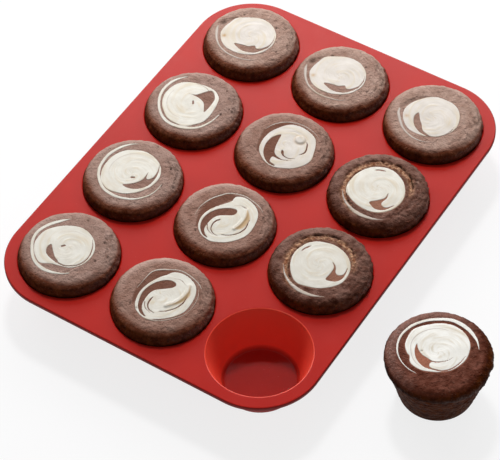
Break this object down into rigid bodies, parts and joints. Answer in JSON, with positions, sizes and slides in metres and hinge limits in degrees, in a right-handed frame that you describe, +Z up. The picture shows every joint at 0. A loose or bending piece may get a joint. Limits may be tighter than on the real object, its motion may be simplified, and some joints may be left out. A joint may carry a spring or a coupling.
{
  "type": "muffin tin",
  "caption": "Soft silicone muffin tin with round tapered cups, holding baked chocolate muffins with cream swirls that lift out; the muffin from an empty cup stands beside it.",
  "frame": {"origin": "the middle of the tin, on the surface that it stands on", "axes": "+X along a row of four cups, +Y across the three rows from a to c, +Z up out of the cups"},
  "size_m": [0.3186, 0.3366, 0.0435],
  "materials": {
    "silicone": "satin",
    "cake": "matte",
    "cream": "satin"
  },
  "bodies": {
    "tray": {"tray_deck": "silicone", "cup_a1": "silicone", "cup_a2": "silicone", "cup_a3": "silicone", "cup_a4": "silicone", "cup_b1": "silicone", "cup_b2": "silicone", "cup_b3": "silicone", "cup_b4": "silicone", "cup_c1": "silicone", "cup_c2": "silicone", "cup_c3": "silicone", "cup_c4": "silicone"},
    "muffin_a2": {"muffin_a2_cake": "cake", "muffin_a2_swirl": "cream"},
    "muffin_a3": {"muffin_a3_cake": "cake", "muffin_a3_swirl": "cream"},
    "muffin_a4": {"muffin_a4_cake": "cake", "muffin_a4_swirl": "cream"},
    "muffin_b1": {"muffin_b1_cake": "cake", "muffin_b1_swirl": "cream"},
    "muffin_b2": {"muffin_b2_cake": "cake", "muffin_b2_swirl": "cream"},
    "muffin_b3": {"muffin_b3_cake": "cake", "muffin_b3_swirl": "cream"},
    "muffin_b4": {"muffin_b4_cake": "cake", "muffin_b4_swirl": "cream"},
    "muffin_c1": {"muffin_c1_cake": "cake", "muffin_c1_swirl": "cream"},
    "muffin_c2": {"muffin_c2_cake": "cake", "muffin_c2_swirl": "cream"},
    "muffin_c3": {"muffin_c3_cake": "cake", "muffin_c3_swirl": "cream"},
    "muffin_c4": {"muffin_c4_cake": "cake", "muffin_c4_swirl": "cream"},
    "muffin_loose": {"muffin_loose_cake": "cake", "muffin_loose_swirl": "cream"}
  },
  "joints": [
    {"name": "lift_a2", "type": "slide", "parent": "tray", "child": "muffin_a2", "axis": [0, 0, 1], "range_m": [0, 0.06]},
    {"name": "lift_a3", "type": "slide", "parent": "tray", "child": "muffin_a3", "axis": [0, 0, 1], "range_m": [0, 0.06]},
    {"name": "lift_a4", "type": "slide", "parent": "tray", "child": "muffin_a4", "axis": [0, 0, 1], "range_m": [0, 0.06]},
    {"name": "lift_b1", "type": "slide", "parent": "tray", "child": "muffin_b1", "axis": [0, 0, 1], "range_m": [0, 0.06]},
    {"name": "lift_b2", "type": "slide", "parent": "tray", "child": "muffin_b2", "axis": [0, 0, 1], "range_m": [0, 0.06]},
    {"name": "lift_b3", "type": "slide", "parent": "tray", "child": "muffin_b3", "axis": [0, 0, 1], "range_m": [0, 0.06]},
    {"name": "lift_b4", "type": "slide", "parent": "tray", "child": "muffin_b4", "axis": [0, 0, 1], "range_m": [0, 0.06]},
    {"name": "lift_c1", "type": "slide", "parent": "tray", "child": "muffin_c1", "axis": [0, 0, 1], "range_m": [0, 0.06]},
    {"name": "lift_c2", "type": "slide", "parent": "tray", "child": "muffin_c2", "axis": [0, 0, 1], "range_m": [0, 0.06]},
    {"name": "lift_c3", "type": "slide", "parent": "tray", "child": "muffin_c3", "axis": [0, 0, 1], "range_m": [0, 0.06]},
    {"name": "lift_c4", "type": "slide", "parent": "tray", "child": "muffin_c4", "axis": [0, 0, 1], "range_m": [0, 0.06]},
    {"name": "lift_loose", "type": "slide", "parent": "tray", "child": "muffin_loose", "axis": [0, 0, 1], "range_m": [0, 0.06]}
  ]
}
